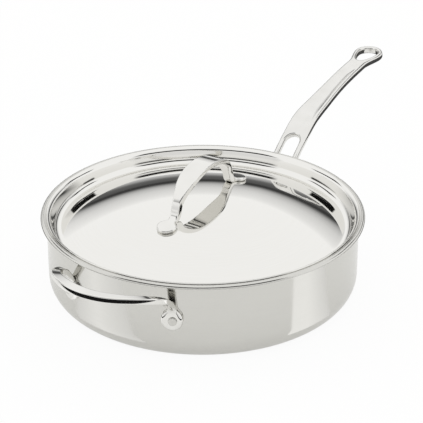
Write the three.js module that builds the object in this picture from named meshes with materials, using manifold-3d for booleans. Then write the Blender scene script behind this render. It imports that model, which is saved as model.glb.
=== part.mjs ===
// Deep frying pan with lid: a clad steel saute pan with a flared pouring lip, a long riveted
// handle, a riveted helper handle opposite it, and a recessed domed lid with an arched handle.
//
// Frame: millimetres, +Z up, origin at the middle of the flat underside, long handle along +X.

import * as THREE from 'three';
import { mergeVertices } from 'three/addons/utils/BufferGeometryUtils.js';
import Module from 'manifold-3d';

const wasm = await Module();
wasm.setup();

// Bowl
const INNER_RADIUS = 140; // inside of the straight wall
const PAN_HEIGHT = 78; // underside to the top of the lip
const LINER_THICKNESS = 0.5; // cooking surface, stainless steel
const CORE_THICKNESS = 1.6; // heat spreader, aluminium
const SKIN_THICKNESS = 0.5; // outside, magnetic stainless steel
const BOND_LINE = 0.05; // between two clad layers
const CORNER_RADIUS = 17.5; // inside, between floor and wall
const FLARE_RADIUS = 5; // inside, between wall and lip
const LIP_WIDTH = 3.1; // straight part of the lip
const LIP_TILT = THREE.MathUtils.degToRad(18); // rise of the lip towards its edge
const RIM_SEAL = 1.4; // steel that closes the edge of the core

// Lid
const LID_THICKNESS = 1.2;
const LID_OVERLAP = 0.8; // how far the lid's flange lies on the straight part of the lip
const LID_FLANGE = 1; // how far the flange runs on inside the straight part of the lip
const LID_FOLD_RADIUS = 5.5; // between flange and wall
const LID_WALL_SLOPE = THREE.MathUtils.degToRad(73.5); // wall between flange and groove
const LID_WALL_DROP = 7.1; // height of that wall
const GROOVE_RADIUS = 5.7; // between wall and dome
const DOME_SLOPE = THREE.MathUtils.degToRad(22.8); // slope of the dome at its edge

// Lid handle
const LID_FOOT_REACH = 61; // middle of a foot from the lid's axis
const LID_FOOT_RADIUS = 9.2;
const LID_FOOT_THICKNESS = 2.4;
const LID_FOOT_MARGIN = 0.6; // foot beyond the leg that stands on it
const ARCH_HALF_SPAN = 46; // middle of the bar at the feet
const ARCH_HEIGHT = 33.5; // dome top to the middle of the bar
const ARCH_SQUARENESS = 2; // 2 is an ellipse, more is squarer
const ARCH_WIDTH_TOP = 19.5;
const ARCH_WIDTH_LEG = 8;
const ARCH_LEG_SHARE = 0.35; // share of the height over which a leg keeps its width
const ARCH_THICKNESS_TOP = 4.6;
const ARCH_THICKNESS_LEG = 6.6;

// Long handle: reach from the wall, rise from the top of the lip
const LONG_HANDLE_LINE = [
  [2, -20],
  [17, -6],
  [34, 6],
  [54, 18],
  [86, 26],
  [129, 34.5],
  [160, 38.5],
  [210, 43],
];
const LONG_FORK_WIDTH = 26; // over both prongs
const LONG_GRIP_WIDTH = 20;
const LONG_NECK_WIDTH = 19; // just before the hanging eye
const LONG_EYE_WIDTH = 30;
const LONG_THICKNESS = 7.6;
const LONG_TROUGH = 1.4; // depth of the hollow along the top of the grip
const TROUGH_END = 158; // end of the hollow from the wall
const TROUGH_FADE = 16; // length over which it ends
const SLOT_WIDTH = 16; // between the prongs
const SLOT_END = 35; // end of the slot from the wall
const FORK_TAPER = 90; // length over which the fork narrows to the grip
const EYE_HOLE_LENGTH = 32;
const EYE_HOLE_WIDTH = 20;
const EYE_BORDER = 5; // metal beyond the hanging hole
const FLANGE_WIDTH = 48;
const FLANGE_HEIGHT = 24;
const FLANGE_THICKNESS = 4.5;
const FLANGE_DROP = 27; // middle of the flange below the top of the lip
const FLANGE_RIVET_SPACING = 28;

// Helper handle
const HELPER_FOOT_SPACING = 104;
const HELPER_FOOT_DROP = 35; // middle of a foot below the top of the lip
const HELPER_FOOT_RADIUS = 9.7;
const HELPER_FOOT_THICKNESS = 5;
const HELPER_BAR_DROP = 11.5; // bar below the top of the lip, where it leaves the feet
const HELPER_BAR_RISE = 11.2; // from there to the middle of the bar
const HELPER_STAND_OFF = 13; // bar from the wall at the feet, along the handle
const HELPER_REACH = 39.8; // from there to the middle of the bar
const HELPER_END_WIDTH = 8; // where the bar leaves the feet
const HELPER_BAR_WIDTH = 10.5; // in the middle
const HELPER_BROAD_SHARE = 0.7; // share of the reach where the bar starts to broaden
const HELPER_BAR_THICKNESS = 4.2;

// Rivets
const RIVET_SHANK_RADIUS = 3;
const RIVET_HEAD_RADIUS = 6;
const RIVET_HEAD_HEIGHT = 1.8;
const RIVET_CROWN = 0.6; // share of the head's radius where its rounding starts
const RIVET_SHOULDER = 0.8; // share of the head's height that is left there
const RIVET_TAIL_RADIUS = 3.9;
const RIVET_TAIL_HEIGHT = 0.7;
const RIVET_CLEARANCE = 0.3; // shank in its hole
const SEAT_GAP = 0.3; // between two pieces that rest on each other

// Facets
const ROUND_SEGMENTS = 48;
const ROUND_FINE = 24; // small round pieces
const ARC_STEPS = 4;
const DOME_STEPS = 8;
const SECTION_POINTS = 14;
const SECTION_SQUARENESS = 3; // 2 is an ellipse, more is squarer
const PATH_STEPS = 22;
const TIP_STEPS = 5; // round end of the long handle
const MERGE_DISTANCE = 1e-4;
const CUTTER_LENGTH = 400; // longer than any piece it cuts

const WALL = LINER_THICKNESS + CORE_THICKNESS + SKIN_THICKNESS + 2 * BOND_LINE;
const OUTER_RADIUS = INNER_RADIUS + WALL;
const Z_AXIS = new THREE.Vector3(0, 0, 1);
const Y_AXIS = new THREE.Vector3(0, 1, 0);

const polished = { color: 0xdcdcd8, roughness: 0.12, metalness: 1 };
const satin = { color: 0xc9c9c4, roughness: 0.38, metalness: 1 };
const aluminium = { color: 0xb8babc, roughness: 0.5, metalness: 1 };

/** Turns a closed geometry into a solid that can be cut and joined. */
function solidOf(geometry) {
  const bare = new THREE.BufferGeometry();
  bare.setAttribute('position', geometry.getAttribute('position'));
  bare.setIndex(geometry.getIndex());
  const merged = mergeVertices(bare, MERGE_DISTANCE);
  const corners = merged.getIndex().array;
  const triangles = [];
  for (let i = 0; i < corners.length; i += 3) {
    const [a, b, c] = corners.slice(i, i + 3);
    if (a !== b && b !== c && c !== a) {
      triangles.push(a, b, c);
    }
  }
  const mesh = new wasm.Mesh({
    numProp: 3,
    vertProperties: merged.getAttribute('position').array,
    triVerts: new Uint32Array(triangles),
  });
  return new wasm.Manifold(mesh);
}

/** Makes the named mesh of a finished solid. */
function pieceOf(name, solid, finish) {
  const { vertProperties, triVerts } = solid.getMesh();
  const geometry = new THREE.BufferGeometry();
  geometry.setAttribute('position', new THREE.BufferAttribute(vertProperties, 3));
  geometry.setIndex(new THREE.BufferAttribute(triVerts, 1));
  geometry.computeVertexNormals();
  const mesh = new THREE.Mesh(geometry, new THREE.MeshStandardMaterial(finish));
  mesh.name = name;
  return mesh;
}

/** Turns an outline of [radius, height] points round the Z axis. */
function turned(outline, segments) {
  const geometry = new THREE.LatheGeometry(outline, segments);
  geometry.rotateX(Math.PI / 2);
  return geometry;
}

/** Points on an arc, from one angle to the other. */
function arc(centre, radius, from, to, steps) {
  const points = [];
  for (let i = 0; i <= steps; i += 1) {
    const angle = THREE.MathUtils.lerp(from, to, i / steps);
    const offset = new THREE.Vector2(Math.cos(angle), Math.sin(angle));
    points.push(offset.multiplyScalar(radius).add(centre));
  }
  return points;
}

/** Skin through rings of points, closed at both ends. Rings run anticlockwise, seen from the far end. */
function skin(rings) {
  const count = rings[0].length;
  const ends = [rings[0], rings[rings.length - 1]].map((ring) => {
    const middle = new THREE.Vector3();
    ring.forEach((point) => middle.add(point));
    return middle.divideScalar(count);
  });
  const points = [...rings.flat(), ...ends];
  const start = points.length - 2;
  const last = (rings.length - 1) * count;
  const index = [];
  for (let j = 0; j < count; j += 1) {
    const next = (j + 1) % count;
    for (let i = 0; i < rings.length - 1; i += 1) {
      const here = i * count;
      const there = here + count;
      index.push(here + j, here + next, there + j);
      index.push(here + next, there + next, there + j);
    }
    index.push(start, next, j);
    index.push(start + 1, last + j, last + next);
  }
  const geometry = new THREE.BufferGeometry().setFromPoints(points);
  geometry.setIndex(index);
  return geometry;
}

/** A number's power, keeping its sign. */
function signedPower(value, power) {
  return Math.sign(value) * Math.abs(value) ** power;
}

/** One ring of a bar: a rounded rectangle, with a hollow along its upper face. */
function barRing(middle, across, up, width, thickness, trough) {
  const ring = [];
  for (let i = 0; i < SECTION_POINTS; i += 1) {
    const angle = (2 * Math.PI * i) / SECTION_POINTS;
    const side = signedPower(Math.cos(angle), 2 / SECTION_SQUARENESS);
    const height = signedPower(Math.sin(angle), 2 / SECTION_SQUARENESS);
    const hollow = height > 0 ? trough * height * (1 - side * side) : 0;
    const point = middle.clone();
    point.addScaledVector(across, (side * width) / 2);
    point.addScaledVector(up, (height * thickness) / 2 - hollow);
    ring.push(point);
  }
  return ring;
}

/** Straight prism of a shape drawn in X and Y, between two heights. */
function prism(shape, bottom, top) {
  const settings = { depth: top - bottom, bevelEnabled: false, curveSegments: ROUND_FINE / 2 };
  const geometry = new THREE.ExtrudeGeometry(shape, settings);
  geometry.translate(0, 0, bottom);
  return geometry;
}

/** Turns a geometry that stands along Z so that it points out of the wall at an angle and height. */
function pointOutwards(geometry, azimuth, height) {
  geometry.rotateY(Math.PI / 2);
  geometry.rotateZ(azimuth);
  geometry.translate(0, 0, height);
  return geometry;
}

/** Round bar along Z between two heights. */
function roundBar(radius, bottom, top) {
  const outline = [
    new THREE.Vector2(0, bottom),
    new THREE.Vector2(radius, bottom),
    new THREE.Vector2(radius, top),
    new THREE.Vector2(0, top),
  ];
  return turned(outline, ROUND_FINE);
}

// Bowl: every layer follows the same line, at its own depth behind the cooking surface

const lipAlong = new THREE.Vector2(Math.cos(LIP_TILT), Math.sin(LIP_TILT));
const lipNormal = new THREE.Vector2(-Math.sin(LIP_TILT), Math.cos(LIP_TILT));
const flareHeight =
  PAN_HEIGHT - WALL / 2 - (FLARE_RADIUS - WALL / 2) * lipNormal.y - LIP_WIDTH * lipAlong.y;
const flareCentre = new THREE.Vector2(INNER_RADIUS + FLARE_RADIUS, flareHeight);
const cornerCentre = new THREE.Vector2(INNER_RADIUS - CORNER_RADIUS, WALL + CORNER_RADIUS);
const lipAngle = Math.PI / 2 + LIP_TILT;

/** Point on the lip, along it from the flare and behind its upper face. */
function lipPoint(along, depth) {
  const point = flareCentre.clone();
  point.addScaledVector(lipNormal, FLARE_RADIUS - depth);
  return point.addScaledVector(lipAlong, along);
}

/** Line of the bowl from its axis to the lip, behind the cooking surface. */
function bowlLine(depth, lipLength) {
  return [
    new THREE.Vector2(0, WALL - depth),
    ...arc(cornerCentre, CORNER_RADIUS + depth, -Math.PI / 2, 0, ARC_STEPS),
    ...arc(flareCentre, FLARE_RADIUS - depth, Math.PI, lipAngle, ARC_STEPS),
    lipPoint(lipLength, depth),
  ];
}

/** Layer of the bowl between two depths. */
function bowlLayer(inside, outside) {
  const length = LIP_WIDTH - RIM_SEAL - BOND_LINE;
  const outline = [...bowlLine(outside, length), ...bowlLine(inside, length).reverse()];
  return solidOf(turned(outline, ROUND_SEGMENTS));
}

/** Outer skin of the bowl, which also makes the round edge of the lip. */
function outerSkin() {
  const outline = [
    ...bowlLine(WALL, LIP_WIDTH),
    ...arc(lipPoint(LIP_WIDTH, WALL / 2), WALL / 2, lipAngle - Math.PI, lipAngle, ARC_STEPS).slice(1),
    lipPoint(LIP_WIDTH - RIM_SEAL, 0),
    ...bowlLine(WALL - SKIN_THICKNESS, LIP_WIDTH - RIM_SEAL).reverse(),
  ];
  return solidOf(turned(outline, ROUND_SEGMENTS));
}

// Places of the four rivets in the bowl

const helperAngle = Math.asin(HELPER_FOOT_SPACING / 2 / OUTER_RADIUS);
const flangeAngle = Math.asin(FLANGE_RIVET_SPACING / 2 / OUTER_RADIUS);
const helperFootHeight = PAN_HEIGHT - HELPER_FOOT_DROP;
const flangeHeight = PAN_HEIGHT - FLANGE_DROP;
const wallFace = OUTER_RADIUS + SEAT_GAP;
const bowlRivets = [
  { name: 'long_handle_rivet_left', azimuth: flangeAngle, height: flangeHeight, grip: FLANGE_THICKNESS },
  { name: 'long_handle_rivet_right', azimuth: -flangeAngle, height: flangeHeight, grip: FLANGE_THICKNESS },
  {
    name: 'helper_handle_rivet_left',
    azimuth: Math.PI + helperAngle,
    height: helperFootHeight,
    grip: HELPER_FOOT_THICKNESS,
  },
  {
    name: 'helper_handle_rivet_right',
    azimuth: Math.PI - helperAngle,
    height: helperFootHeight,
    grip: HELPER_FOOT_THICKNESS,
  },
];

/** Cuts the holes of all bowl rivets. */
function drillBowl(solid) {
  return bowlRivets.reduce((drilled, rivet) => {
    const radius = RIVET_SHANK_RADIUS + RIVET_CLEARANCE;
    const drill = roundBar(radius, 0, CUTTER_LENGTH);
    return drilled.subtract(solidOf(pointOutwards(drill, rivet.azimuth, rivet.height)));
  }, solid);
}

/** Solid rivet: a low round head inside the bowl, a shank, and a set tail on the handle's foot. */
function bowlRivet({ azimuth, height, grip }) {
  const facetRadius = INNER_RADIUS * Math.cos(Math.PI / ROUND_SEGMENTS);
  const headSeat = Math.sqrt(facetRadius ** 2 - RIVET_HEAD_RADIUS ** 2) - SEAT_GAP;
  const tailSeat = wallFace + grip + SEAT_GAP;
  const outline = [
    new THREE.Vector2(0, headSeat - RIVET_HEAD_HEIGHT),
    new THREE.Vector2(RIVET_HEAD_RADIUS * RIVET_CROWN, headSeat - RIVET_HEAD_HEIGHT * RIVET_SHOULDER),
    new THREE.Vector2(RIVET_HEAD_RADIUS, headSeat),
    new THREE.Vector2(RIVET_SHANK_RADIUS, headSeat),
    new THREE.Vector2(RIVET_SHANK_RADIUS, tailSeat),
    new THREE.Vector2(RIVET_TAIL_RADIUS, tailSeat),
    new THREE.Vector2(RIVET_TAIL_RADIUS - RIVET_TAIL_HEIGHT, tailSeat + RIVET_TAIL_HEIGHT),
    new THREE.Vector2(0, tailSeat + RIVET_TAIL_HEIGHT),
  ];
  return solidOf(pointOutwards(turned(outline, ROUND_FINE), azimuth, height));
}

/** The bowl's outside, with room for the seat gap, to shape whatever is riveted to it. */
function wallCutter() {
  const outline = [
    new THREE.Vector2(0, 0),
    new THREE.Vector2(wallFace, 0),
    new THREE.Vector2(wallFace, PAN_HEIGHT),
    new THREE.Vector2(0, PAN_HEIGHT),
  ];
  return solidOf(turned(outline, ROUND_SEGMENTS));
}

// Long handle: a forked bar that ends in a hanging eye, cast in one with its curved flange

/** Width of the long handle at a reach from the wall. */
function longHandleWidth(reach) {
  const tip = LONG_HANDLE_LINE.at(-1)[0];
  const eyeMiddle = tip - LONG_EYE_WIDTH / 2;
  const eyeStart = tip - EYE_BORDER - EYE_HOLE_LENGTH - EYE_BORDER;
  if (reach > eyeMiddle) {
    const round = (reach - eyeMiddle) / (tip - eyeMiddle);
    return LONG_EYE_WIDTH * Math.sqrt(1 - round * round);
  }
  const flare = THREE.MathUtils.smoothstep(reach, eyeStart, eyeMiddle);
  const taper = THREE.MathUtils.smoothstep(reach, SLOT_END, SLOT_END + FORK_TAPER);
  const neck = (reach - SLOT_END) / (eyeStart - SLOT_END);
  const grip = THREE.MathUtils.lerp(LONG_GRIP_WIDTH, LONG_NECK_WIDTH, THREE.MathUtils.clamp(neck, 0, 1));
  const bar = THREE.MathUtils.lerp(LONG_FORK_WIDTH, grip, taper);
  return THREE.MathUtils.lerp(bar, LONG_EYE_WIDTH, flare);
}

/** Teardrop of the hanging hole, with its narrow end towards the pan. */
function eyeHole(far) {
  const radius = EYE_HOLE_WIDTH / 2;
  const near = far - EYE_HOLE_LENGTH;
  const middle = far - radius;
  const shape = new THREE.Shape();
  shape.moveTo(near, 0);
  shape.bezierCurveTo(near, -radius / 2, middle - radius, -radius, middle, -radius);
  shape.absarc(middle, 0, radius, -Math.PI / 2, Math.PI / 2, false);
  shape.bezierCurveTo(middle - radius, radius, near, radius / 2, near, 0);
  return shape;
}

/** Long slot between the prongs, round at its far end. */
function forkSlot() {
  const start = wallFace + FLANGE_THICKNESS;
  const end = OUTER_RADIUS + SLOT_END;
  const half = SLOT_WIDTH / 2;
  const shape = new THREE.Shape();
  shape.moveTo(start, -half);
  shape.lineTo(end - half, -half);
  shape.absarc(end - half, 0, half, -Math.PI / 2, Math.PI / 2, false);
  shape.lineTo(start, half);
  shape.closePath();
  return shape;
}

/** Flange of the long handle: a plate with round ends, bent to the wall. */
function flange() {
  const half = FLANGE_WIDTH / 2 - FLANGE_HEIGHT / 2;
  const shape = new THREE.Shape();
  shape.absarc(0, half, FLANGE_HEIGHT / 2, 0, Math.PI, false);
  shape.absarc(0, -half, FLANGE_HEIGHT / 2, Math.PI, 2 * Math.PI, false);
  const plate = prism(shape, 0, CUTTER_LENGTH);
  const ring = [
    new THREE.Vector2(wallFace, 0),
    new THREE.Vector2(wallFace + FLANGE_THICKNESS, 0),
    new THREE.Vector2(wallFace + FLANGE_THICKNESS, PAN_HEIGHT),
    new THREE.Vector2(wallFace, PAN_HEIGHT),
    new THREE.Vector2(wallFace, 0),
  ];
  return solidOf(turned(ring, ROUND_SEGMENTS)).intersect(solidOf(pointOutwards(plate, 0, flangeHeight)));
}

function longHandle() {
  const points = LONG_HANDLE_LINE.map(
    ([reach, rise]) => new THREE.Vector3(OUTER_RADIUS + reach, 0, PAN_HEIGHT + rise),
  );
  const path = new THREE.CatmullRomCurve3(points, false, 'centripetal');
  const eye = LONG_EYE_WIDTH / 2 / path.getLength();
  const stations = [];
  for (let i = 0; i <= PATH_STEPS; i += 1) {
    stations.push(((1 - eye) * i) / PATH_STEPS);
  }
  for (let i = 1; i <= TIP_STEPS; i += 1) {
    const angle = (Math.PI * i) / (2 * TIP_STEPS + 2);
    stations.push(1 - eye + eye * Math.sin(angle));
  }
  const rings = stations.map((station) => {
    const middle = path.getPointAt(station);
    const along = path.getTangentAt(station);
    const up = new THREE.Vector3().crossVectors(along, Y_AXIS);
    const reach = middle.x - OUTER_RADIUS;
    const start = THREE.MathUtils.smoothstep(reach, SLOT_END, SLOT_END + TROUGH_FADE);
    const end = THREE.MathUtils.smoothstep(reach, TROUGH_END - TROUGH_FADE, TROUGH_END);
    const trough = LONG_TROUGH * (start - end);
    return barRing(middle, Y_AXIS, up, longHandleWidth(reach), LONG_THICKNESS, trough);
  });
  const hole = prism(eyeHole(points.at(-1).x - EYE_BORDER), 0, CUTTER_LENGTH);
  const slot = prism(forkSlot(), 0, CUTTER_LENGTH);
  const bar = solidOf(skin(rings)).subtract(solidOf(slot)).subtract(solidOf(hole));
  return drillBowl(bar.add(flange()).subtract(wallCutter()));
}

// Helper handle: a bowed bar whose ends drop into two round feet

const wallReach = OUTER_RADIUS * Math.cos(helperAngle);
const barReach = wallReach + HELPER_STAND_OFF;

/** Middle line of the helper handle, from one foot to the other. */
function helperLine() {
  const half = HELPER_FOOT_SPACING / 2;
  const footReach = wallReach + SEAT_GAP + HELPER_FOOT_THICKNESS / 2;
  const barHeight = PAN_HEIGHT - HELPER_BAR_DROP;
  const bow = [];
  for (let i = 0; i <= PATH_STEPS; i += 1) {
    const angle = (Math.PI * i) / PATH_STEPS;
    const share = Math.sin(angle);
    const reach = barReach + HELPER_REACH * share;
    const height = barHeight + HELPER_BAR_RISE * (1 - (1 - share) ** 2);
    bow.push(new THREE.Vector3(-reach, half * Math.cos(angle), height));
  }
  const foot = new THREE.Vector3(-footReach, half, helperFootHeight);
  const ankle = new THREE.Vector3(-footReach, half, helperFootHeight + HELPER_FOOT_RADIUS);
  const mirror = new THREE.Vector3(1, -1, 1);
  return [foot, ankle, ...bow, ankle.clone().multiply(mirror), foot.clone().multiply(mirror)];
}

function helperHandle() {
  const path = new THREE.CatmullRomCurve3(helperLine(), false, 'centripetal');
  const steps = 2 * PATH_STEPS;
  const { tangents, normals } = path.computeFrenetFrames(steps, false);
  const rings = [];
  for (let i = 0; i <= steps; i += 1) {
    const middle = path.getPointAt(i / steps);
    const lift = (middle.z - helperFootHeight) / (HELPER_FOOT_DROP - HELPER_BAR_DROP);
    const roll = -Math.sign(middle.y) * helperAngle * (1 - THREE.MathUtils.smoothstep(lift, 0, 1));
    const across = normals[i].clone().applyAxisAngle(Z_AXIS, roll);
    const up = new THREE.Vector3().crossVectors(tangents[i], across).normalize();
    const thickness = THREE.MathUtils.lerp(HELPER_FOOT_THICKNESS, HELPER_BAR_THICKNESS, Math.min(lift, 1));
    const share = (-middle.x - barReach) / HELPER_REACH;
    const broad = THREE.MathUtils.smoothstep(share, HELPER_BROAD_SHARE, 1);
    const width = THREE.MathUtils.lerp(HELPER_END_WIDTH, HELPER_BAR_WIDTH, broad);
    rings.push(barRing(middle, across, up, width, thickness, 0));
  }
  const feet = [Math.PI + helperAngle, Math.PI - helperAngle].map((azimuth) => {
    const foot = roundBar(HELPER_FOOT_RADIUS, 0, wallFace + HELPER_FOOT_THICKNESS);
    return solidOf(pointOutwards(foot, azimuth, helperFootHeight));
  });
  const bar = solidOf(skin(rings));
  return drillBowl(bar.add(feet[0]).add(feet[1]).subtract(wallCutter()));
}

// Lid: a flange that lies in the flare, a wall, a groove and a dome

/** Upper line of the lid from the edge of its flange to its axis, and the ball that its dome is part of. */
function lidLine() {
  const depth = -SEAT_GAP - LID_THICKNESS;
  const foldCentre = lipPoint(-LID_FLANGE, depth).addScaledVector(lipNormal, -LID_FOLD_RADIUS);
  const points = [
    lipPoint(LID_OVERLAP, depth),
    ...arc(foldCentre, LID_FOLD_RADIUS, lipAngle, Math.PI / 2 + LID_WALL_SLOPE, ARC_STEPS),
  ];
  const wallRun = LID_WALL_DROP / Math.tan(LID_WALL_SLOPE);
  const wallFoot = points.at(-1).clone().sub(new THREE.Vector2(wallRun, LID_WALL_DROP));
  const towardsWall = LID_WALL_SLOPE - Math.PI / 2;
  const grooveCentre = new THREE.Vector2(-Math.cos(towardsWall), -Math.sin(towardsWall));
  grooveCentre.multiplyScalar(GROOVE_RADIUS).add(wallFoot);
  const towardsDome = -Math.PI / 2 - DOME_SLOPE;
  points.push(...arc(grooveCentre, GROOVE_RADIUS, towardsWall, towardsDome, ARC_STEPS));
  const domeEdge = points.at(-1);
  const radius = domeEdge.x / Math.sin(DOME_SLOPE);
  const centre = new THREE.Vector2(0, domeEdge.y - radius * Math.cos(DOME_SLOPE));
  points.push(...arc(centre, radius, Math.PI / 2 - DOME_SLOPE, Math.PI / 2, DOME_STEPS).slice(1));
  points.at(-1).x = 0;
  return { points, dome: { radius, centre: centre.y } };
}

/** The line moved down by the thickness of the lid, square to itself. */
function underside(points) {
  return points.map((point, i) => {
    const before = points[Math.max(i - 1, 0)];
    const after = points[Math.min(i + 1, points.length - 1)];
    const along = after.clone().sub(before).normalize();
    const lowered = new THREE.Vector2(-along.y, along.x).multiplyScalar(LID_THICKNESS).add(point);
    return i === points.length - 1 ? new THREE.Vector2(0, point.y - LID_THICKNESS) : lowered;
  });
}

const lid = lidLine();

/** Height of the dome's upper face at a distance from its axis. */
function domeHeight(reach) {
  return lid.dome.centre + Math.sqrt(lid.dome.radius ** 2 - reach ** 2);
}

function lidShell() {
  const outline = [...underside(lid.points).reverse(), ...lid.points];
  return solidOf(turned(outline, ROUND_SEGMENTS));
}

/** Foot of the lid handle: a round plate on the dome, with a tail under the leg. */
function lidFoot(azimuth) {
  const tail = LID_FOOT_REACH - ARCH_HALF_SPAN + ARCH_THICKNESS_LEG / 2 + LID_FOOT_MARGIN;
  const half = ARCH_WIDTH_LEG / 2 + LID_FOOT_MARGIN;
  const turn = Math.PI - Math.asin(half / LID_FOOT_RADIUS);
  const shape = new THREE.Shape();
  shape.absarc(0, 0, LID_FOOT_RADIUS, -turn, turn, false);
  shape.lineTo(-tail, half);
  shape.lineTo(-tail, -half);
  shape.closePath();
  const foot = prism(shape, SEAT_GAP, SEAT_GAP + LID_FOOT_THICKNESS);
  foot.translate(0, 0, lid.dome.radius);
  foot.rotateY(Math.asin(LID_FOOT_REACH / lid.dome.radius));
  foot.rotateZ(azimuth);
  foot.translate(0, 0, lid.dome.centre);
  return solidOf(foot);
}

/** Lid handle: an arch that is broad at the top and narrow and thick in its legs, on two feet. */
function lidHandle() {
  const springing = domeHeight(ARCH_HALF_SPAN) + SEAT_GAP + LID_FOOT_THICKNESS / 2;
  const rise = domeHeight(0) + ARCH_HEIGHT - springing;
  const arch = [];
  for (let i = 0; i <= PATH_STEPS; i += 1) {
    const angle = (Math.PI * i) / PATH_STEPS;
    const reach = signedPower(Math.cos(angle), 2 / ARCH_SQUARENESS) * ARCH_HALF_SPAN;
    const height = signedPower(Math.sin(angle), 2 / ARCH_SQUARENESS) * rise;
    arch.push(new THREE.Vector3(-reach, 0, springing + height));
  }
  const path = new THREE.CatmullRomCurve3(arch, false, 'centripetal');
  const rings = [];
  for (let i = 0; i <= PATH_STEPS; i += 1) {
    const middle = path.getPointAt(i / PATH_STEPS);
    const along = path.getTangentAt(i / PATH_STEPS);
    const up = new THREE.Vector3().crossVectors(along, Y_AXIS);
    const crown = THREE.MathUtils.smoothstep(middle.z, springing + ARCH_LEG_SHARE * rise, springing + rise);
    const width = THREE.MathUtils.lerp(ARCH_WIDTH_LEG, ARCH_WIDTH_TOP, crown);
    const thickness = THREE.MathUtils.lerp(ARCH_THICKNESS_LEG, ARCH_THICKNESS_TOP, crown);
    rings.push(barRing(middle, Y_AXIS, up, width, thickness, 0));
  }
  return solidOf(skin(rings)).add(lidFoot(0)).add(lidFoot(Math.PI));
}

// Assembly

const pan = new THREE.Group();
pan.add(pieceOf('pan_outer_skin', drillBowl(outerSkin()), satin));
const coreInside = LINER_THICKNESS + BOND_LINE;
const core = bowlLayer(coreInside, coreInside + CORE_THICKNESS);
pan.add(pieceOf('pan_aluminium_core', drillBowl(core), aluminium));
pan.add(pieceOf('pan_inner_liner', drillBowl(bowlLayer(0, LINER_THICKNESS)), satin));
pan.add(pieceOf('long_handle', longHandle(), polished));
pan.add(pieceOf('helper_handle', helperHandle(), polished));
bowlRivets.forEach((rivet) => {
  pan.add(pieceOf(rivet.name, bowlRivet(rivet), satin));
});

const cover = new THREE.Group();
cover.add(pieceOf('lid_shell', lidShell(), polished));
cover.add(pieceOf('lid_handle', lidHandle(), polished));

const object = new THREE.Group();
object.add(pan, cover);

export default object;
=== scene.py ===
"""Looks of a deep frying pan with lid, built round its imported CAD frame.

Sizes are millimetres, in the frame of the CAD part: +Z up, the origin in the middle of the flat
underside and the long handle along +X. They become metres where a surface is laid into a mesh.
"""

import logging
import math
from collections.abc import Callable
from dataclasses import dataclass, field
from enum import Enum
from typing import Any, ClassVar

import bmesh
import bpy
import numpy as np
from bpy.types import Material, Node, NodeSocket, NodeTree, Object
from mathutils import Matrix, Vector


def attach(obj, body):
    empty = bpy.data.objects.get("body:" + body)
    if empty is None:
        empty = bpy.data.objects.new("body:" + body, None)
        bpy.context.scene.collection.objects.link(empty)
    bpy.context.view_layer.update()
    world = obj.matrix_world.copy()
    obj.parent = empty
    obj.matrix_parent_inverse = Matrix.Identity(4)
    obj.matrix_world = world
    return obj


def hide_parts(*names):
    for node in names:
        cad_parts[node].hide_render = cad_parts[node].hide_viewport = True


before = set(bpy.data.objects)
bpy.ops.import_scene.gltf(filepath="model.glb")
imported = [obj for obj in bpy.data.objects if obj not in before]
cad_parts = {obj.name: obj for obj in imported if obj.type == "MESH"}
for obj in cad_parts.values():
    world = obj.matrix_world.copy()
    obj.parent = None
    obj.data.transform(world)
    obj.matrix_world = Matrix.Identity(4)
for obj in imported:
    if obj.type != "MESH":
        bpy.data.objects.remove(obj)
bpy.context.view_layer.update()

Array = np.ndarray
MM = 0.001
UP = np.array([0.0, 0.0, 1.0])
SIDEWAYS = np.array([0.0, 1.0, 0.0])
# Angles, in radians, at which a round end starts or stops, so that its last row is no point.
END_ANGLE = 0.06
TIP_ANGLE = 1.5
LIP_HEIGHT = 78.0
CAMERA_AZIMUTH = -148.5
LOG = logging.getLogger("frying_pan")


class Body(Enum):
    """Moving bodies of the CAD part."""

    PAN = "pan"
    LID = "lid"


class Slot(Enum):
    """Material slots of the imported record."""

    SATIN = "satin_steel"
    POLISHED = "polished_steel"
    CORE = "aluminium_core"


# Surfaces


@dataclass
class Surface:
    """Points in millimetres, and the faces between them."""

    points: Array
    faces: list[Array]

    def moved(self, turn: Matrix) -> "Surface":
        """Give the surface turned and shifted by a matrix."""
        matrix = np.array(turn)
        return Surface(self.points @ matrix[:3, :3].T + matrix[:3, 3], self.faces)


def joined(*surfaces: Surface) -> Surface:
    """Put several surfaces into one: all their points, with the faces renumbered to match.

    Args:
        surfaces: the surfaces, in the order that their points take.

    Returns:
        One surface that holds them all.
    """
    starts = np.cumsum([0] + [len(surface.points) for surface in surfaces])
    return Surface(np.concatenate([surface.points for surface in surfaces]),
                   [face + start for surface, start in zip(surfaces, starts) for face in surface.faces])


def rows_of(*columns: float | Array) -> Array:
    """Rows of an array from its columns, each an array or one number for all rows."""
    return np.stack(np.broadcast_arrays(*columns), axis=-1)


def ring(angle: Array, radius: float | Array = 1.0, height: float | Array = 0.0) -> Array:
    """Points (r cos a, r sin a, z) round the Z axis."""
    return rows_of(radius * np.cos(angle), radius * np.sin(angle), height)


def grid_faces(rows: int, columns: int, wrap: bool) -> Array:
    """Quads of a grid of points.

    Args:
        rows: points along the first parameter.
        columns: points along the second parameter.
        wrap: whether the last column meets the first.

    Returns:
        Four point numbers for each quad, in the order that faces outwards on a turned outline.
    """
    i, j = np.meshgrid(np.arange(rows - 1), np.arange(columns - (not wrap)), indexing="ij")
    k = (j + 1) % columns
    quads = [i * columns + j, i * columns + k, (i + 1) * columns + k, (i + 1) * columns + j]
    return rows_of(*quads).reshape(-1, 4)


def arc(centre: Array, radius: float, start: float, end: float, steps: int) -> Array:
    """Points of an arc: the centre plus the radius along each angle, from start to end in degrees."""
    angle = np.radians(np.linspace(start, end, steps + 1))
    return centre + radius * rows_of(np.cos(angle), np.sin(angle))


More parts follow.
